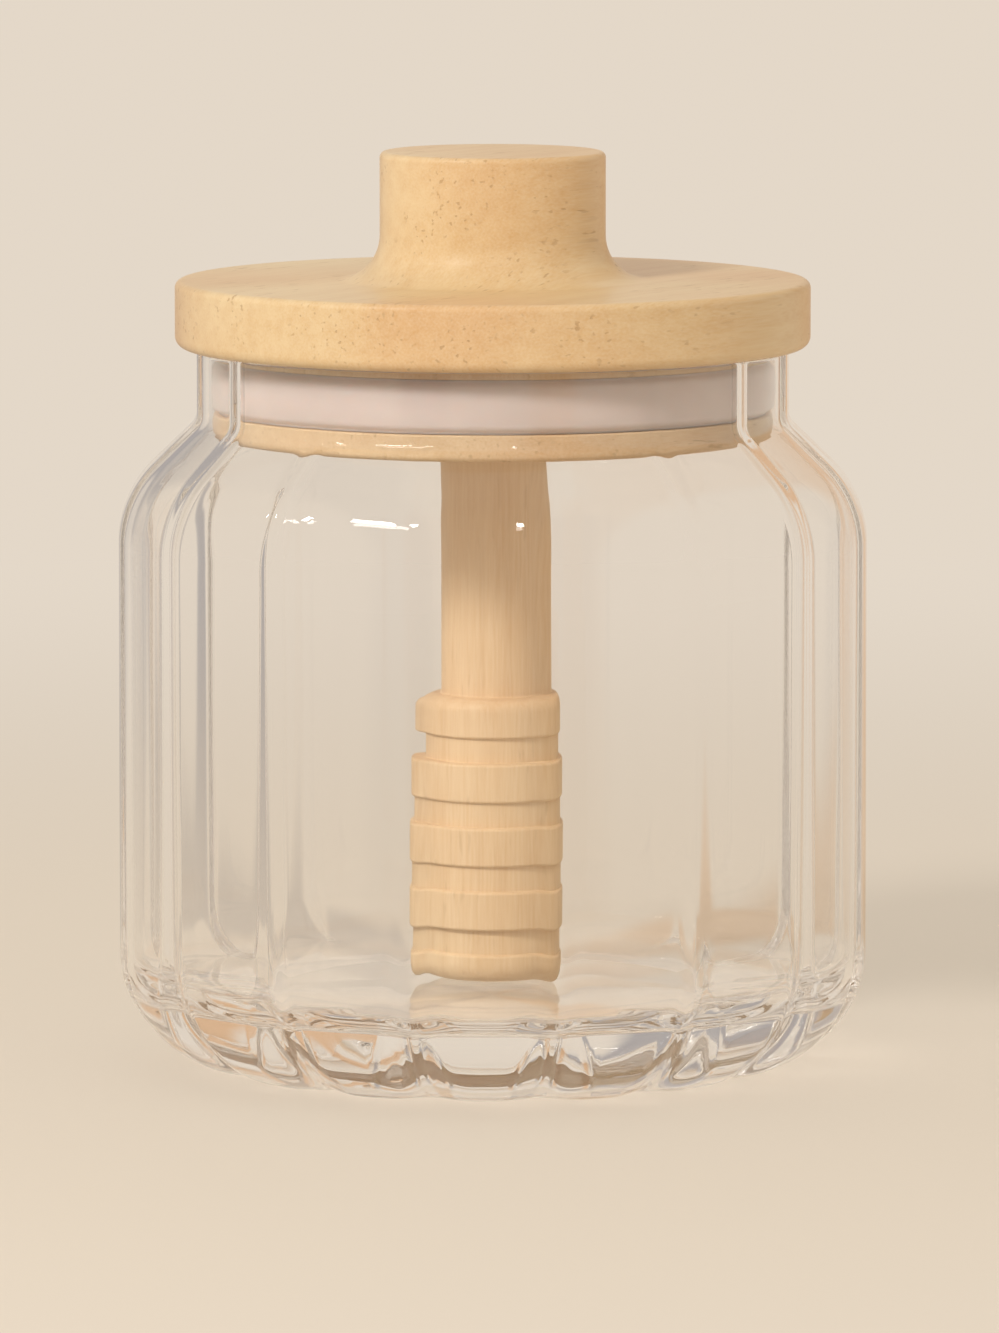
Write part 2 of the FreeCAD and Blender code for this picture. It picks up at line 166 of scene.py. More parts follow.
class HoneyJarFinish(bpy.types.PropertyGroup):
    """Colours of the materials and of the stage."""

    glass_tint: colour("Glass Tint", "Clear glass", (0.975, 0.967, 0.958))
    wood_light: colour("Light Wood", "Early wood", (0.83, 0.62, 0.345))
    wood_dark: colour("Dark Wood", "Late wood", (0.70, 0.45, 0.20))
    pore: colour("Pore", "Pores and short streaks", (0.42, 0.24, 0.10))
    dipper_light: colour("Dipper, Light", "Early wood of the dipper and the plug", (0.80, 0.61, 0.375))
    dipper_dark: colour("Dipper, Dark", "Late wood of the dipper and the plug", (0.68, 0.46, 0.24))
    blush: colour("Blush", "Tint of the lid's and the dipper's warmer places", (0.86, 0.52, 0.30))
    fibre: colour("Fibre", "Pale fibres in the wood", (0.93, 0.80, 0.60))
    silicone: colour("Silicone", "Milky ring", (0.75, 0.63, 0.58))
    steel: colour("Steel", "Zinc plate", (0.60, 0.61, 0.63))
    table: colour("Table", "Floor under the jar", (0.88, 0.75, 0.59))
    backdrop: colour("Backdrop", "Floor far from the jar", (0.775, 0.685, 0.58))
    left_strip: colour("Left Strip", "Strip that the left edges of the glass show", (0.40, 0.37, 0.36))
    right_strip: colour("Right Strip", "Strip that the right edges of the glass show", (0.70, 0.45, 0.27))
    sky_tint: colour("Sky Tint", "Even light on matt surfaces", (1.0, 0.94, 0.83))
    key_tint: colour("Key Tint", "Light of the soft lamp in front", (1.0, 0.98, 0.965))
    glint_tint: colour("Glint Tint", "Light of the lamps that glint in the glass", (1.0, 0.98, 0.96))


class HoneyJarStage(bpy.types.PropertyGroup):
    """Places and strengths of the camera and lamps."""

    camera_distance: length("Camera Distance", "Camera from the jar's axis", 1.299)
    camera_height: length("Camera Height", "Camera above the table", 0.2095)
    aim_side: length("Aim Side", "Aim to the right of the jar's axis", 0.0009)
    aim_height: length("Aim Height", "Aim above the table", 0.053)
    lens: FloatProperty(name="Lens", description="Focal length for a 36 mm frame", default=264.0)
    camera_turn: FloatProperty(
        name="Camera Turn", description="Camera to the right of the front", default=math.radians(1.6),
        subtype="ANGLE")
    key_power: FloatProperty(name="Key Power", description="Soft lamp in front", default=5.0, unit="POWER")
    window_power: FloatProperty(
        name="Window Power", description="Long bright lamp at the upper left", default=1.2, unit="POWER")
    spot_power: FloatProperty(name="Spot Power", description="Each small lamp", default=0.2, unit="POWER")
    world_strength: FloatProperty(name="Sky", description="Strength of the even light", default=0.62)
    glass_gain: FloatProperty(
        name="Glass Gain", default=0.35,
        description="Even light added to what stands in the glass, for what glass holds back")


# Outlines and skins


def arc(centre, radius, first, last, steps):
    """Points of a circle round the centre between two angles in degrees."""
    angle = np.radians(np.linspace(first, last, steps + 1))
    return np.stack([centre[0] + radius * np.cos(angle), centre[1] + radius * np.sin(angle)], axis=1)


def outline(corners, steps=10, hold=0.00012):
    """An upright outline (radius, height) through corners of (radius, height, round).

    Each round is the arc tangent to the two runs that meet there, and each run gets a point
    a little way in from both its ends, so that shading stays flat between the rounds.
    """
    spots = np.array([corner[:2] for corner in corners], dtype=float)
    path = [spots[:1]]
    for before, spot, after, corner in zip(spots[:-2], spots[1:-1], spots[2:], corners[1:-1]):
        back = (before - spot) / np.linalg.norm(before - spot)
        ahead = (after - spot) / np.linalg.norm(after - spot)
        half = np.arccos(np.clip(back @ ahead, -1, 1)) / 2
        reach = corner[2] / np.tan(half)
        centre = spot + (back + ahead) / np.linalg.norm(back + ahead) * corner[2] / np.sin(half)
        start = spot + back * reach - centre
        end = spot + ahead * reach - centre
        first = math.atan2(start[1], start[0])
        swing = (math.atan2(end[1], end[0]) - first + math.pi) % (2 * math.pi) - math.pi
        turn = first + swing * np.linspace(0, 1, steps + 1)
        bend = centre + corner[2] * np.stack([np.cos(turn), np.sin(turn)], axis=1)
        path += [spot + back * (reach + hold), bend, spot + ahead * (reach + hold)]
    path.append(spots[-1:])
    return np.vstack(path)


def turned(profile, columns=160):
    """The grid of an outline turned once round the Z axis: x = r cos a, y = r sin a, z = height."""
    angle = np.arange(columns) * 2 * math.pi / columns
    radius = profile[:, :1]
    height = np.broadcast_to(profile[:, 1:], (len(profile), columns))
    return np.stack([radius * np.cos(angle), radius * np.sin(angle), height], axis=2)


def skin(name, rows, looped=False):
    """A closed mesh over a grid of points whose rows each close round.

    Rows run from the axis below, out, up and back to the axis, so faces look outwards. The first
    and last rows become one point each, or with looped the last row joins the first.
    """
    count, around = rows.shape[:2]
    if looped:
        points = rows.reshape(-1, 3)
        lower = np.arange(count * around).reshape(count, around)
        upper = np.roll(lower, -1, axis=0)
    else:
        points = np.vstack([rows[0, :1], rows[1:-1].reshape(-1, 3), rows[-1, :1]])
        inner = np.arange(1, len(points) - 1).reshape(count - 2, around)
        lower, upper = inner[:-1], inner[1:]
    quads = np.stack([lower, np.roll(lower, -1, 1), np.roll(upper, -1, 1), upper], axis=2)
    faces = quads.reshape(-1, 4).tolist()
    if not looped:
        first, last = inner[0], inner[-1]
        below = np.stack([np.full(around, 0), np.roll(first, -1), first], axis=1)
        above = np.stack([np.full(around, len(points) - 1), last, np.roll(last, -1)], axis=1)
        faces += below.tolist() + above.tolist()
    mesh = bpy.data.meshes.new(name)
    mesh.from_pydata(points.tolist(), [], faces)
    mesh.polygons.foreach_set("use_smooth", np.ones(len(mesh.polygons), dtype=bool))
    mesh.update()
    thing = bpy.data.objects.new(name, mesh)
    bpy.context.collection.objects.link(thing)
    return thing


def stand_for(piece, body, node, material):
    """Puts a finished piece in the place of its CAD node."""
    piece.data.materials.append(material)
    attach(piece, body)
    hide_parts(node)


# Shader expressions


class Wire:
    """One output socket of a shader node, with the maths that the materials here use."""

    def __init__(self, paint, socket):
        self.paint = paint
        self.socket = socket

    def maths(self, operation, other, swapped=False):
        """This value and another one, in this order or swapped, through a maths node."""
        first, second = (other, self) if swapped else (self, other)
        node = self.paint.node("ShaderNodeMath", {"operation": operation}, {0: first, 1: second})
        return self.paint.wire(node, 0)

    def __add__(self, other):
        return self.maths("ADD", other)

    __radd__ = __add__

    def __sub__(self, other):
        return self.maths("SUBTRACT", other)

    def __rsub__(self, other):
        return self.maths("SUBTRACT", other, swapped=True)

    def __mul__(self, other):
        return self.maths("MULTIPLY", other)

    def __abs__(self):
        return self.maths("ABSOLUTE", 0.0)

    def larger(self, other):
        return self.maths("MAXIMUM", other)

    def above(self, level):
        """1 above the level and 0 below it."""
        return self.maths("GREATER_THAN", level)

    def step(self, low, high):
        """0 below low, 1 above high and a smooth rise between them."""
        node = self.paint.node(
            "ShaderNodeMapRange", {"interpolation_type": "SMOOTHSTEP"},
            {"Value": self, "From Min": low, "From Max": high})
        return self.paint.wire(node, "Result")


class Paint:
    """A material or a sky whose nodes are made by expressions."""

    def __init__(self, name, kind="materials"):
        self.material = getattr(bpy.data, kind).new(name)
        self.material.use_nodes = True
        self.tree = self.material.node_tree
        self.tree.nodes.clear()

    def node(self, kind, settings=None, inputs=None):
        """A node of this kind, its settings set first and then its sockets' values or links."""
        made = self.tree.nodes.new(kind)
        for key, value in (settings or {}).items():
            setattr(made, key, value)
        for key, value in (inputs or {}).items():
            if isinstance(value, Wire):
                self.tree.links.new(value.socket, made.inputs[key])
            else:
                made.inputs[key].default_value = value
        return made

    def wire(self, made, output):
        return Wire(self, made.outputs[output])

    def place(self, turn=(0, 0, 0)):
        """Object coordinates, turned by the given angles."""
        spot = self.wire(self.node("ShaderNodeTexCoord"), "Object")
        return self.wire(self.node("ShaderNodeMapping", None, {"Vector": spot, "Rotation": turn}), "Vector")

    def stretched(self, spot, scale):
        node = self.node("ShaderNodeVectorMath", {"operation": "MULTIPLY"}, {0: spot, 1: scale})
        return self.wire(node, "Vector")

    def noise(self, spot, scale, detail=2.0, roughness=0.5, distortion=0.0):
        node = self.node("ShaderNodeTexNoise", None, {
            "Vector": spot, "Scale": scale, "Detail": detail, "Roughness": roughness,
            "Distortion": distortion})
        return self.wire(node, 0)

    def mix(self, share, first, second, blend="MIX"):
        """A mix of two colours."""
        opaque = [value if isinstance(value, Wire) else (*value, 1.0) for value in (first, second)]
        node = self.node(
            "ShaderNodeMix", {"data_type": "RGBA", "blend_type": blend},
            {0: share, 6: opaque[0], 7: opaque[1]})
        return self.wire(node, 2)

    def bump(self, height, distance, strength=1.0):
        node = self.node("ShaderNodeBump", None, {
            "Height": height, "Distance": distance, "Strength": strength})
        return self.wire(node, "Normal")

    def strips(self, way, finish, shown=1):
        """The backdrop's colour, but a strip's where a direction leans a quarter to a half sideways."""
        lean = self.wire(self.node("ShaderNodeVectorMath", {"operation": "NORMALIZE"}, {0: way}), "Vector")
        lean = self.wire(self.node("ShaderNodeSeparateXYZ", None, {0: lean}), "X")
        strip = self.mix(lean.step(-0.01, 0.01), finish.left_strip, finish.right_strip)
        lean = abs(lean)
        share = lean.step(0.22, 0.32) - lean.step(0.50, 0.62)
        return self.mix(share * shown, finish.backdrop, strip)

    def surface(self, **inputs):
        """Ends the tree in a Principled shader with these sockets."""
        named = {key.replace("_", " "): value for key, value in inputs.items()}
        shader = self.node("ShaderNodeBsdfPrincipled", None, named)
        self.finish(self.wire(shader, 0))
        return self.material

    def finish(self, shader):
        self.node("ShaderNodeOutputMaterial", None, {"Surface": shader})


def clear_glass(finish):
    """Pressed clear glass: faint upright ripples from the mould and a little tint."""
    paint = Paint("clear_glass")
    spot = paint.place()
    ripple = paint.noise(paint.stretched(spot, (160, 160, 14)), 1.0, detail=1.0)
    tint = paint.mix(ripple, finish.glass_tint, tuple(min(1.0, part * 1.015) for part in finish.glass_tint))
    return paint.surface(
        Base_Color=tint, Roughness=0.0, IOR=1.5, Transmission_Weight=1.0,
        Normal=paint.bump(ripple, 0.00002))


def turned_wood(name, finish, tones, turn, speckle, warmth, lacquer=0.0):
    """Light fine-pored hardwood.

    The texture's first axis runs along the fibres, and each noise has its waves per metre along
    them and across them. Broad drifts of tone and thin growth lines are noise drawn out along the
    fibres; pores are the few peaks of a finer, longer noise, gathered where a wide noise is high,
    so they are dots on end grain and short streaks along it. The lacquer is a thin satin coat.
    """
    paint = Paint(name)
    spot = paint.place(turn)

    def grain(along, across, detail, **more):
        return paint.noise(paint.stretched(spot, (along, across, across)), 1.0, detail=detail, **more)

    drift = grain(9, 34, 3.0, distortion=0.6)
    lines = grain(22, 520, 4.0, roughness=0.62)
    fibres = grain(160, 3200, 2.0)
    gather = grain(60, 130, 2.0).step(0.40, 0.60)
    peaks = grain(240, 1500, 1.0).step(0.63, 0.74)
    streak = grain(70, 620, 2.0).step(0.67, 0.77)
    pores = peaks * gather * speckle
    tone = drift.step(0.30, 0.72) * 0.55 + lines.step(0.30, 0.75) * 0.45
    body = paint.mix(tone, *tones)
    blush = paint.noise(spot, 26.0, detail=1.0).step(0.35, 0.7)
    body = paint.mix(blush * warmth, body, finish.blush, "MULTIPLY")
    body = paint.mix((fibres - 0.5) * 0.5 + 0.12, body, finish.fibre)
    body = paint.mix(pores * 0.7, body, finish.pore)
    body = paint.mix(streak * gather * 0.5 * speckle, body, finish.pore)
    height = fibres * 0.35 + lines * 0.25 - pores * 0.9
    return paint.surface(
        Base_Color=body, Roughness=0.50 + (fibres - 0.5) * 0.16 + pores * 0.15, IOR=1.45,
        Coat_Weight=lacquer, Coat_Roughness=0.30, Normal=paint.bump(height, 0.00006))


def milky_silicone(finish):
    """Soft translucent silicone with faint cloudiness and a fine moulded skin."""
    paint = Paint("milky_silicone")
    spot = paint.place()
    cloud = paint.noise(spot, 120.0, detail=3.0)
    skin_noise = paint.noise(spot, 2600.0, detail=1.0)
    body = paint.mix(cloud.step(0.3, 0.7), finish.silicone, tuple(part * 0.94 for part in finish.silicone))
    return paint.surface(
        Base_Color=body, Roughness=0.42 + (skin_noise - 0.5) * 0.1, IOR=1.41,
        Subsurface_Weight=0.35, Subsurface_Radius=(0.004, 0.0025, 0.002), Subsurface_Scale=1.0,
        Normal=paint.bump(skin_noise, 0.00001))


def zinc_steel(finish):
    """Bright zinc plate with fine turning lines."""
    paint = Paint("zinc_steel")
    spot = paint.place()
    lines = paint.noise(paint.stretched(spot, (300, 300, 9000)), 1.0, detail=2.0)
    body = paint.mix(lines, finish.steel, tuple(part * 0.8 for part in finish.steel))
    return paint.surface(
        Base_Color=body, Metallic=1.0, Roughness=0.28 + (lines - 0.5) * 0.2,
        Normal=paint.bump(lines, 0.000005))


def soft_sky(finish, stage):
    """Even light, which glass and gloss see as the backdrop with a strip at each side.

    Diffuse Depth is above 0 where a ray has left a matt surface: there the sky is a lamp, and a
    ray that then goes through the glass gets a little more, for what the glass holds back.
    """
    paint = Paint("soft_sky", "worlds")
    way = paint.wire(paint.node("ShaderNodeTexCoord"), "Generated")
    rays = paint.node("ShaderNodeLightPath")
    through = paint.wire(rays, "Is Transmission Ray")
    seen = paint.wire(rays, "Is Camera Ray").larger(through).larger(paint.wire(rays, "Is Glossy Ray"))
    lit = paint.wire(rays, "Diffuse Depth").above(0.5)
    seen = seen * (1 - lit)
    tint = paint.mix(seen, finish.sky_tint, paint.strips(way, finish))
    strength = through * lit * stage.glass_gain + stage.world_strength
    back = paint.node("ShaderNodeBackground", None, {
        "Color": tint, "Strength": seen + (1 - seen) * strength})
    paint.node("ShaderNodeOutputWorld", None, {"Surface": paint.wire(back, 0)})
    return paint.material


def pale_floor(finish):
    """A plain pale floor: near the jar it is matt with a 0.4 share of painted glow that lightens the jar's
    shadow there, and far away it glows with the even tone of the backdrop.
    """
    paint = Paint("pale_floor")
    spot = paint.wire(paint.node("ShaderNodeTexCoord"), "Object")
    away = paint.wire(paint.node("ShaderNodeVectorMath", {"operation": "LENGTH"}, {0: spot}), "Value")
    # Painted glow: 0.4 of the floor near the jar glows, lightening the jar's shadow, and the share rises to
    # 1 far away
    glow_share = away.step(0.10, 0.62) * 0.6 + 0.4
    grain = paint.noise(spot, 900.0, detail=2.0)
    near = paint.mix(grain * 0.3, finish.table, tuple(part * 0.97 for part in finish.table))
    matt = paint.node("ShaderNodeBsdfPrincipled", None, {
        "Base Color": paint.mix(glow_share, near, finish.backdrop), "Roughness": 0.7,
        "Specular IOR Level": 0.25})
    bare = paint.wire(paint.node("ShaderNodeLightPath"), "Is Camera Ray")
    glow = paint.node("ShaderNodeEmission", None, {
        "Color": paint.strips(spot, finish, 1 - bare), "Strength": 1.0})
    both = paint.node("ShaderNodeMixShader", None, {
        0: glow_share, 1: paint.wire(matt, 0), 2: paint.wire(glow, 0)})
    paint.finish(paint.wire(both, 0))
    return paint.material


# The fluted jar


def flute_radius(turn, crest, groove, width, half, calm):
    """Radius of a fluted ring at each angle from the front; the other values hold one per row.

    The ring is round, and a cosine bump cuts each groove out of it: radius = crest - groove
    * (1 + cos(pi d / width)) / 2, with d the length along the ring from the groove's middle, as
    long as d is less than width. A groove keeps its full depth at both sides and the share
    1 - calm of it in front and behind, with 1 - calm * cos(turn) ** 4 between them.
    """
    fold = np.abs((turn + half) % (2 * half) - half)[None, :]
    crest, groove, width, calm = (part[:, None] for part in (crest, groove, width, calm))
    groove = groove * (1 - calm * np.cos(turn)[None, :] ** 4)
    off = np.minimum((half - fold) * crest / width, 1)
    return crest - groove * (1 + np.cos(math.pi * off)) / 2


def slope_run(middle, radius, turn, neck, root):
    """From the top of a straight wall over the shoulder, up the slope and into the neck."""
    degrees = math.degrees(turn)
    over = arc(middle, radius, 0, degrees, 20)
    run = (over[-1, 0] - neck - root * (1 - math.cos(turn))) / math.sin(turn)
    level = over[-1, 1] + run * math.cos(turn) + root * math.sin(turn)
    into = arc((neck + root, level), root, 180 + degrees, 180, 12)
    shares = np.array([0.08, 0.5, 0.92])[:, None]
    return np.vstack([over, over[-1] + (into[0] - over[-1]) * shares, into])


def straight(radius, low, high):
    """Points of an upright run, held close to both its ends."""
    shares = np.array([0.01, 0.05, 0.5, 0.95, 0.99])
    return np.stack([np.full(5, radius), low + (high - low) * shares], axis=1)


def fade(value, none, full):
    """0 at none, 1 at full and a smooth rise between them."""
    share = np.clip((value - none) / (full - none), 0, 1)
    return share * share * (3 - 2 * share)


def jar_rows(sizes, rim):
    """The jar's outline, from the middle of the base out, up, over the rim and down to the floor.

    With each point come the depth and the width of the grooves in its row, and the share of the
    front's calm. Outside, the grooves are shallow on the wall, a little deeper on the neck, and
    both deeper and wider towards the foot, and they fade under the heel. Inside the jar is round.
    """
    body, neck, mouth = sizes.body_radius, sizes.neck_radius, sizes.mouth_radius
    heel, lip = sizes.heel_radius, sizes.lip_round
    foot = body - heel
    hollow = foot - sizes.bearing_width
    shoulder = rim - sizes.shoulder_drop
    middle = (body - sizes.shoulder_radius, shoulder)
    across = np.linspace(0, 1, 9)
    under = np.stack([hollow * across, sizes.push_up * (1 - across ** 2)], axis=1)
    ledge = np.array([[hollow + (foot - hollow) * 0.1, 0], [hollow + (foot - hollow) * 0.9, 0]])
    outside = np.vstack([
        under, ledge, arc((foot, heel), heel, -90, 0, 26), straight(body, heel, shoulder),
        slope_run(middle, sizes.shoulder_radius, sizes.shoulder_angle, neck, sizes.root_radius)])
    outside = np.vstack([
        outside, straight(neck, outside[-1, 1], rim - lip), arc((neck - lip, rim - lip), lip, 0, 90, 7)])
    inner = body - sizes.wall
    inner_heel = (inner - sizes.inner_heel, sizes.floor + sizes.inner_heel)
    inside = slope_run(
        middle, sizes.shoulder_radius - sizes.wall, sizes.shoulder_angle, mouth,
        sizes.root_radius + sizes.wall)[::-1]
    floor = np.stack([
        inner_heel[0] * across[::-1], sizes.floor + sizes.floor_rise * (1 - across[::-1] ** 2)], axis=1)
    inside = np.vstack([
        arc((mouth + lip, rim - lip), lip, 90, 180, 7), straight(mouth, rim - lip, inside[0, 1]), inside,
        straight(inner, shoulder, inner_heel[1]),
        arc(inner_heel, sizes.inner_heel, 0, -90, 22)[:-1], floor])
    slope = np.sqrt(1 - np.clip((outside[:, 0] - neck) / (body - neck), 0, 1))
    opening = fade(outside[:, 1], sizes.foot_rise, 0)
    upper = sizes.body_groove + (sizes.neck_groove - sizes.body_groove) * slope
    lower = sizes.body_groove + (sizes.foot_groove - sizes.body_groove) * opening
    depth = np.where(opening > 0, lower, upper) * fade(outside[:, 0], hollow, foot)
    width = sizes.groove_width + (sizes.foot_spread - sizes.groove_width) * opening
    plain = np.zeros(len(inside))
    return (np.vstack([outside, inside]), np.concatenate([depth, plain]),
            np.concatenate([width, plain + sizes.groove_width]), np.concatenate([1 - opening, plain]))


def flute_turns(flutes, half, steps=15, crowding=1.7):
    """Angles round the jar, closer together in the grooves than between them."""
    rise = 1 - (1 - np.linspace(0, 1, steps)) ** crowding
    one = half * np.concatenate([rise[:-1], 2 - rise[:0:-1]])
    return (np.arange(flutes)[:, None] * 2 * half + one[None, :]).ravel()


class HONEY_OT_glass_jar(bpy.types.Operator):
    """Make the fluted glass jar"""

    bl_idname = "honey.glass_jar"
    bl_label = "Glass Jar"

    def execute(self, context):
        sizes = context.scene.honey_glass
        profile, grooves, widths, wall_share = jar_rows(sizes, JAR_BOX[1][2])
        half = math.pi / sizes.flutes
        turn = flute_turns(sizes.flutes, half)
        least = 1e-9
        crest = np.maximum(profile[:, 0], least)
        calm = (1 - sizes.front_calm) * wall_share
        radius = flute_radius(turn, crest, grooves, widths, half, calm)
        front = turn - math.pi / 2
        height = np.broadcast_to(profile[:, 1:], radius.shape)
        rows = np.stack([radius * np.cos(front), radius * np.sin(front), height], axis=2)
        jar = skin("fluted_jar", rows)
        jar.visible_shadow = False
        stand_for(jar, "jar", "glass_jar", clear_glass(context.scene.honey_finish))
        return {"FINISHED"}


# The lid, its plug and ring


class HONEY_OT_lid(bpy.types.Operator):
    """Make the turned lid with its knob"""

    bl_idname = "honey.lid"
    bl_label = "Lid"

    def execute(self, context):
        sizes = context.scene.honey_lid
        low, high = LID_BOX
        disc = low[2] + sizes.disc_height
        profile = outline([
            (0, low[2]), (high[0], low[2], sizes.lid_round_low), (high[0], disc, sizes.lid_round_top),
            (sizes.knob_radius, disc, sizes.knob_fillet),
            (sizes.knob_radius, high[2], sizes.knob_round), (0, high[2])], steps=14)
        lid = skin("turned_lid", turned(profile, 288))
        finish = context.scene.honey_finish
        tones = (finish.wood_light, finish.wood_dark)
        wood = turned_wood("lid_wood", finish, tones, (0, 0, math.radians(-58)), 0.7, 0.4, 0.5)
        stand_for(lid, "lid", "lid", wood)
        return {"FINISHED"}


class HONEY_OT_plug(bpy.types.Operator):
    """Make the plug that carries the ring"""

    bl_idname = "honey.plug"
    bl_label = "Lid Plug"

    def execute(self, context):
        sizes = context.scene.honey_lid
        low, high = PLUG_BOX
        inner = high[0] - sizes.groove_depth
        upper = high[2] - sizes.collar
        lower = upper - sizes.groove
        crisp = sizes.plug_edge
        profile = outline([
            (0, low[2]), (high[0], low[2], sizes.plug_round), (high[0], lower, crisp),
            (inner, lower, crisp), (inner, upper, crisp), (high[0], upper, crisp),
            (high[0], high[2], crisp), (0, high[2])], steps=6, hold=0.00008)
        plug = skin("lid_plug_disc", turned(profile, 224))
        finish = context.scene.honey_finish
        tones = (finish.dipper_light, finish.dipper_dark)
        wood = turned_wood("plug_wood", finish, tones, (0, 0, math.radians(-58)), 0.6, 0.5)
        stand_for(plug, "lid", "lid_plug", wood)
        return {"FINISHED"}


class HONEY_OT_ring(bpy.types.Operator):
    """Make the silicone ring"""

    bl_idname = "honey.silicone_ring"
    bl_label = "Silicone Ring"

    def execute(self, context):
        """Outside, the ring swells by a parabola between two edges that draw in; inside it is straight.

        With s from -1 to 1 up the outer face: radius = widest - crown * s * s - fall * (how far |s|
        has gone from 0.8 to 1).
        """
        sizes = context.scene.honey_lid
        low, high = RING_BOX
        inner = high[0] - sizes.ring_thickness
        edge, land = sizes.ring_edge, inner + sizes.ring_land
        middle = (low[2] + high[2]) / 2
        half = (high[2] - low[2]) / 2
        bend, rise = 0.8, 0.98
        share = np.linspace(-1, 1, 25)
        drawn = np.maximum(0, np.abs(share) - bend) / (1 - bend)
        swell = high[0] - sizes.ring_crown * share ** 2 - sizes.ring_fall * drawn
        outer = np.stack([swell, middle + half * rise * share], axis=1)
        top = np.array([[land, high[2]], [inner + edge, high[2]], [inner, high[2] - edge]])
        bottom = np.array([[inner, low[2] + edge], [inner + edge, low[2]], [land, low[2]]])
        profile = np.vstack([outer, top, bottom])
        ring = skin("seal_ring", turned(profile, 256), looped=True)
        stand_for(ring, "seal", "silicone_ring", milky_silicone(context.scene.honey_finish))
        return {"FINISHED"}


# The dipper and its screw


class HONEY_OT_dipper(bpy.types.Operator):
    """Make the dipper"""

    bl_idname = "honey.dipper"
    bl_label = "Dipper"

    def execute(self, context):
        """The beads' radii follow a parabola, widest at widest_bead, with straight cuts between."""
        sizes = context.scene.honey_dipper
        low, high = DIPPER_BOX
        number = np.arange(sizes.beads)[::-1]
        wide = sizes.bead_radius - sizes.bead_taper * ((sizes.widest_bead - number) / sizes.widest_bead) ** 2
        head = low[2] + (sizes.beads - 1) * sizes.bead_pitch + sizes.tip_height
        corners = [(0, low[2])]
        for place, radius, above in zip(number, wide, np.append(wide[1:], 0)):
            top = head - place * sizes.bead_pitch
            bottom = top - sizes.bead_height if place < sizes.beads - 1 else low[2]
            under = sizes.bead_round if place < sizes.beads - 1 else sizes.tip_round
            over = sizes.bead_round if place else sizes.head_round
            corners += [(radius, bottom, under), (radius, top, over)]
            if place:
                cut = min(radius, above) - sizes.cut_depth
                next_bead = top + sizes.bead_pitch - sizes.bead_height
                corners += [(cut, top, sizes.cut_edge), (cut, next_bead, sizes.cut_edge)]
        corners += [
            (sizes.stem_radius, head, sizes.stem_root), (sizes.stem_radius, high[2], sizes.stem_round),
            (0, high[2])]
        profile = outline(corners, steps=7, hold=0.00004)
        dipper = skin("honey_dipper", turned(profile, 160))
        finish = context.scene.honey_finish
        tones = (finish.dipper_light, finish.dipper_dark)
        wood = turned_wood("dipper_wood", finish, tones, (0, math.radians(90), 0), 0.25, 0.2)
        stand_for(dipper, "lid", "dipper", wood)
        return {"FINISHED"}


class HONEY_OT_screw(bpy.types.Operator):
    """Make the dipper's screw"""

    bl_idname = "honey.dipper_screw"
    bl_label = "Dipper Screw"

    def execute(self, context):
        """A countersunk head, a plain neck and a thread.

        The thread's crest stands out where height / pitch less turn / 2 pi is near a whole number
        and a half, and both core and crest draw in over the point. The cross recess sinks the
        head's top where both the nearer and the farther of |x| and |y| are small enough.
        """
        sizes = context.scene.honey_screw
        low, high = SCREW_BOX
        head, top, shank = high[0], high[2], sizes.shank_radius
        columns, face_rows = 96, 28
        neck_low, neck_middle, neck_high = top - 0.009, top - 0.006, top - 0.005
        levels = np.concatenate([np.linspace(low[2], neck_low, 241), [neck_middle]])
        turn = np.arange(columns) * 2 * math.pi / columns
        phase = (levels[:, None] / sizes.thread_pitch - turn[None, :] / (2 * math.pi)) % 1.0
        ridge_share, point_curve = 0.28, 0.8
        ridge = np.clip(1 - np.abs(phase - 0.5) / ridge_share, 0, 1)
        taper = np.clip((levels - low[2]) / sizes.point, 0, 1)[:, None] ** point_curve
        plain = np.clip((levels - (top - sizes.thread_end)) / sizes.thread_fade, 0, 1)[:, None]
        core = shank - sizes.thread_depth * (1 - plain)
        radius = (core + sizes.thread_depth * ridge * (1 - plain)) * taper
        crisp, gap = 0.00008, 0.00005
        upper = outline([
            (shank, neck_high), (shank, top - (head - shank), sizes.head_edge),
            (head - gap, top - sizes.head_edge, crisp), (head - 2 * sizes.head_edge, top, crisp),
            (head - 0.001, top)], steps=4, hold=0.00002)
        face = np.linspace(head - 0.0012, 0, face_rows)
        upper = np.vstack([upper, np.stack([face, np.full(face_rows, top)], axis=1)])
        height = np.broadcast_to(levels[:, None], radius.shape)
        thread = np.stack([radius * np.cos(turn), radius * np.sin(turn), height], axis=2)
        rows = np.concatenate([thread, turned(upper, columns)])
        across = np.minimum(np.abs(rows[..., 0]), np.abs(rows[..., 1]))
        along = np.maximum(np.abs(rows[..., 0]), np.abs(rows[..., 1]))
        arm = fade(across, sizes.cross_width + sizes.cross_flank, sizes.cross_width - sizes.cross_flank)
        reach = fade(along, sizes.cross_reach + sizes.cross_slope, sizes.cross_reach - sizes.cross_slope)
        on_top = rows[..., 2] > top - 1e-7
        rows[..., 2] -= sizes.cross_depth * arm * reach * on_top
        screw = skin("threaded_screw", rows)
        stand_for(screw, "lid", "dipper_screw", zinc_steel(context.scene.honey_finish))
        return {"FINISHED"}


# The stage


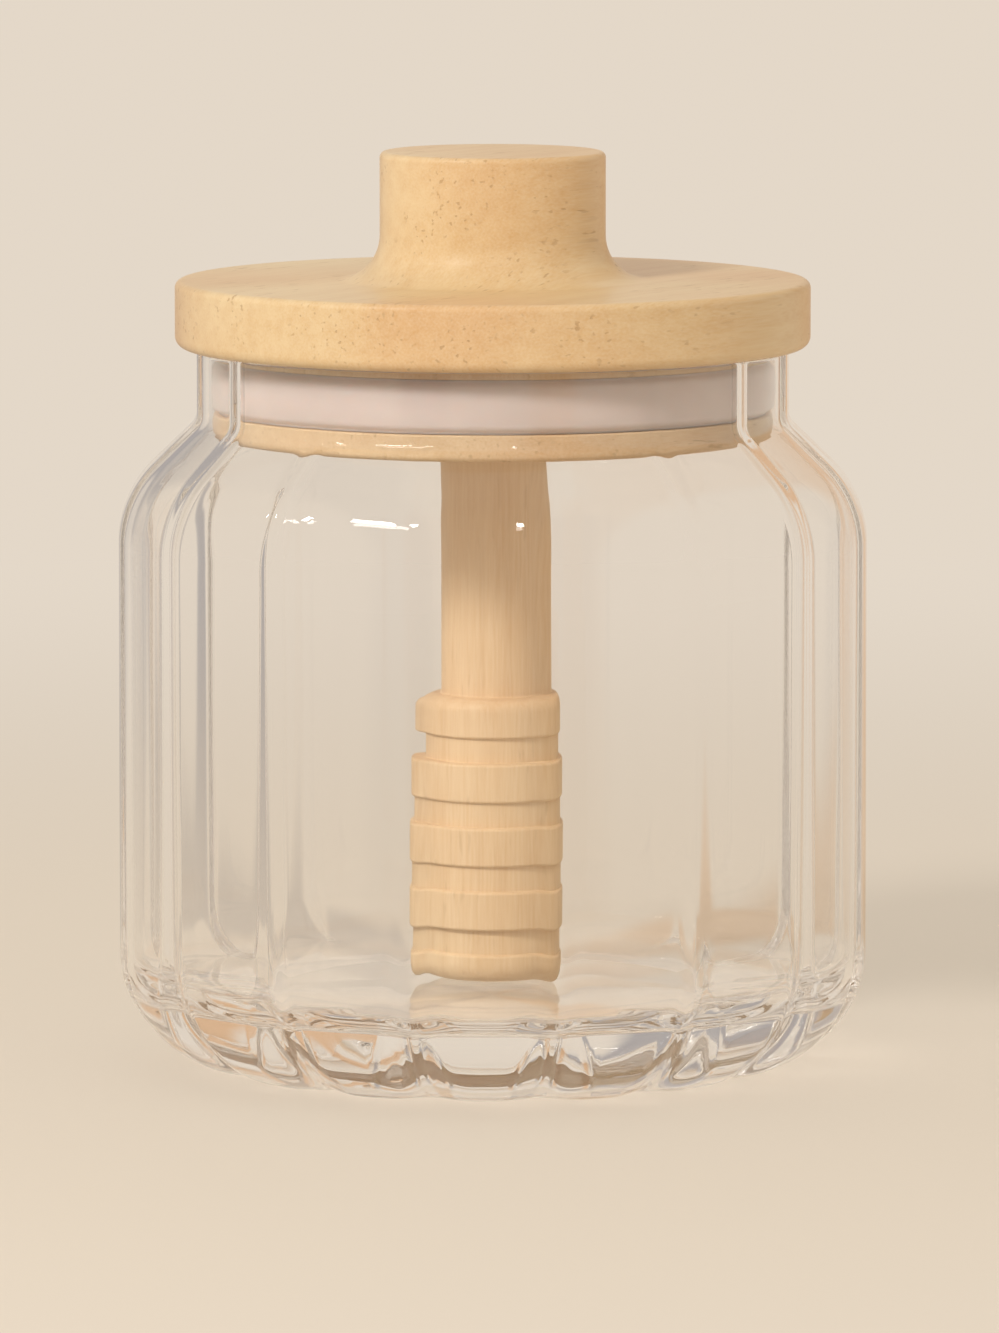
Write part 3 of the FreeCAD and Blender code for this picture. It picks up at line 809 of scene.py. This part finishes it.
def lamp(name, direction, size, power, tint, distance=1.0, aim=(0, 0, 0.06)):
    """A soft lamp of this size (across, up) that looks at the aim.

    It stands in a direction from it: degrees to the left of the front, and degrees above level.
    """
    light = bpy.data.lights.new(name, "AREA")
    light.shape = "ELLIPSE" if size[0] == size[1] else "RECTANGLE"
    light.size, light.size_y = size
    light.energy = power
    light.color = tint
    thing = bpy.data.objects.new(name, light)
    bpy.context.collection.objects.link(thing)
    turn, rise = map(math.radians, direction)
    away = Vector((-math.sin(turn) * math.cos(rise), -math.cos(turn) * math.cos(rise), math.sin(rise)))
    thing.location = Vector(aim) + away * distance
    thing.rotation_euler = (-away).to_track_quat("-Z", "Y").to_euler()
    return thing


class HONEY_OT_stage(bpy.types.Operator):
    """Make the floor, the light and the camera"""

    bl_idname = "honey.stage"
    bl_label = "Stage"

    def execute(self, context):
        stage = context.scene.honey_stage
        finish = context.scene.honey_finish
        reach, under = 6.0, -0.0002
        mesh = bpy.data.meshes.new("floor")
        corners = [
            (-reach, -reach, under), (reach, -reach, under), (reach, reach, under), (-reach, reach, under)]
        mesh.from_pydata(corners, [], [(0, 1, 2, 3)])
        floor = bpy.data.objects.new("floor", mesh)
        context.collection.objects.link(floor)
        floor.data.materials.append(pale_floor(finish))

        key = lamp("key", (33, 35), (0.20, 0.20), stage.key_power, finish.key_tint)
        key.visible_glossy = key.visible_transmission = False
        for glint in (
                lamp("window", (42, 46), (0.26, 0.05), stage.window_power, finish.glint_tint),
                lamp("left_spot", (69, 41), (0.03, 0.06), stage.spot_power, finish.glint_tint),
                lamp("right_spot", (-12, 49), (0.03, 0.06), stage.spot_power, finish.glint_tint)):
            glint.visible_diffuse = False

        context.scene.world = soft_sky(finish, stage)

        data = bpy.data.cameras.new("camera")
        data.sensor_width = 36.0
        data.lens = stage.lens
        data.clip_start, data.clip_end = 0.05, 30.0
        camera = bpy.data.objects.new("camera", data)
        context.collection.objects.link(camera)
        across = Vector((math.cos(stage.camera_turn), math.sin(stage.camera_turn), 0))
        ahead = Vector((-math.sin(stage.camera_turn), math.cos(stage.camera_turn), 0))
        up = Vector((0, 0, 1))
        camera.location = up * stage.camera_height - ahead * stage.camera_distance
        aim = across * stage.aim_side + up * stage.aim_height
        camera.rotation_euler = (aim - camera.location).to_track_quat("-Z", "Y").to_euler()
        context.scene.camera = camera
        context.scene.view_settings.view_transform = "Standard"
        # Light that runs along inside the wall needs many turns to come out again
        bounces = 64
        context.scene.cycles.max_bounces = bounces
        context.scene.cycles.glossy_bounces = bounces
        context.scene.cycles.transmission_bounces = bounces
        return {"FINISHED"}


STEPS = (
    HONEY_OT_stage, HONEY_OT_glass_jar, HONEY_OT_lid, HONEY_OT_plug, HONEY_OT_ring, HONEY_OT_dipper,
    HONEY_OT_screw)
GROUPS = {
    "honey_glass": HoneyJarGlassSizes, "honey_lid": HoneyJarLidSizes,
    "honey_dipper": HoneyJarDipperSizes, "honey_screw": HoneyJarScrewSizes,
    "honey_finish": HoneyJarFinish, "honey_stage": HoneyJarStage}


class HONEY_PT_panel(bpy.types.Panel):
    """Buttons and sizes of the honey jar"""

    bl_idname = "HONEY_PT_panel"
    bl_label = "Honey Jar"
    bl_space_type = "VIEW_3D"
    bl_region_type = "UI"
    bl_category = "Honey Jar"

    def draw(self, context):
        for step in STEPS:
            self.layout.operator(step.bl_idname)
        for name, group in GROUPS.items():
            box = self.layout.box()
            for prop in group.__annotations__:
                box.prop(getattr(context.scene, name), prop)


def register():
    for group in GROUPS.values():
        bpy.utils.register_class(group)
    for step in STEPS:
        bpy.utils.register_class(step)
    bpy.utils.register_class(HONEY_PT_panel)
    for name, group in GROUPS.items():
        setattr(bpy.types.Scene, name, PointerProperty(type=group))


def unregister():
    for name in GROUPS:
        delattr(bpy.types.Scene, name)
    for made in (HONEY_PT_panel, *reversed(STEPS), *GROUPS.values()):
        bpy.utils.unregister_class(made)


def main():
    register()
    for step in STEPS:
        group, name = step.bl_idname.split(".")
        getattr(getattr(bpy.ops, group), name)()


if __name__ == "__main__":
    main()
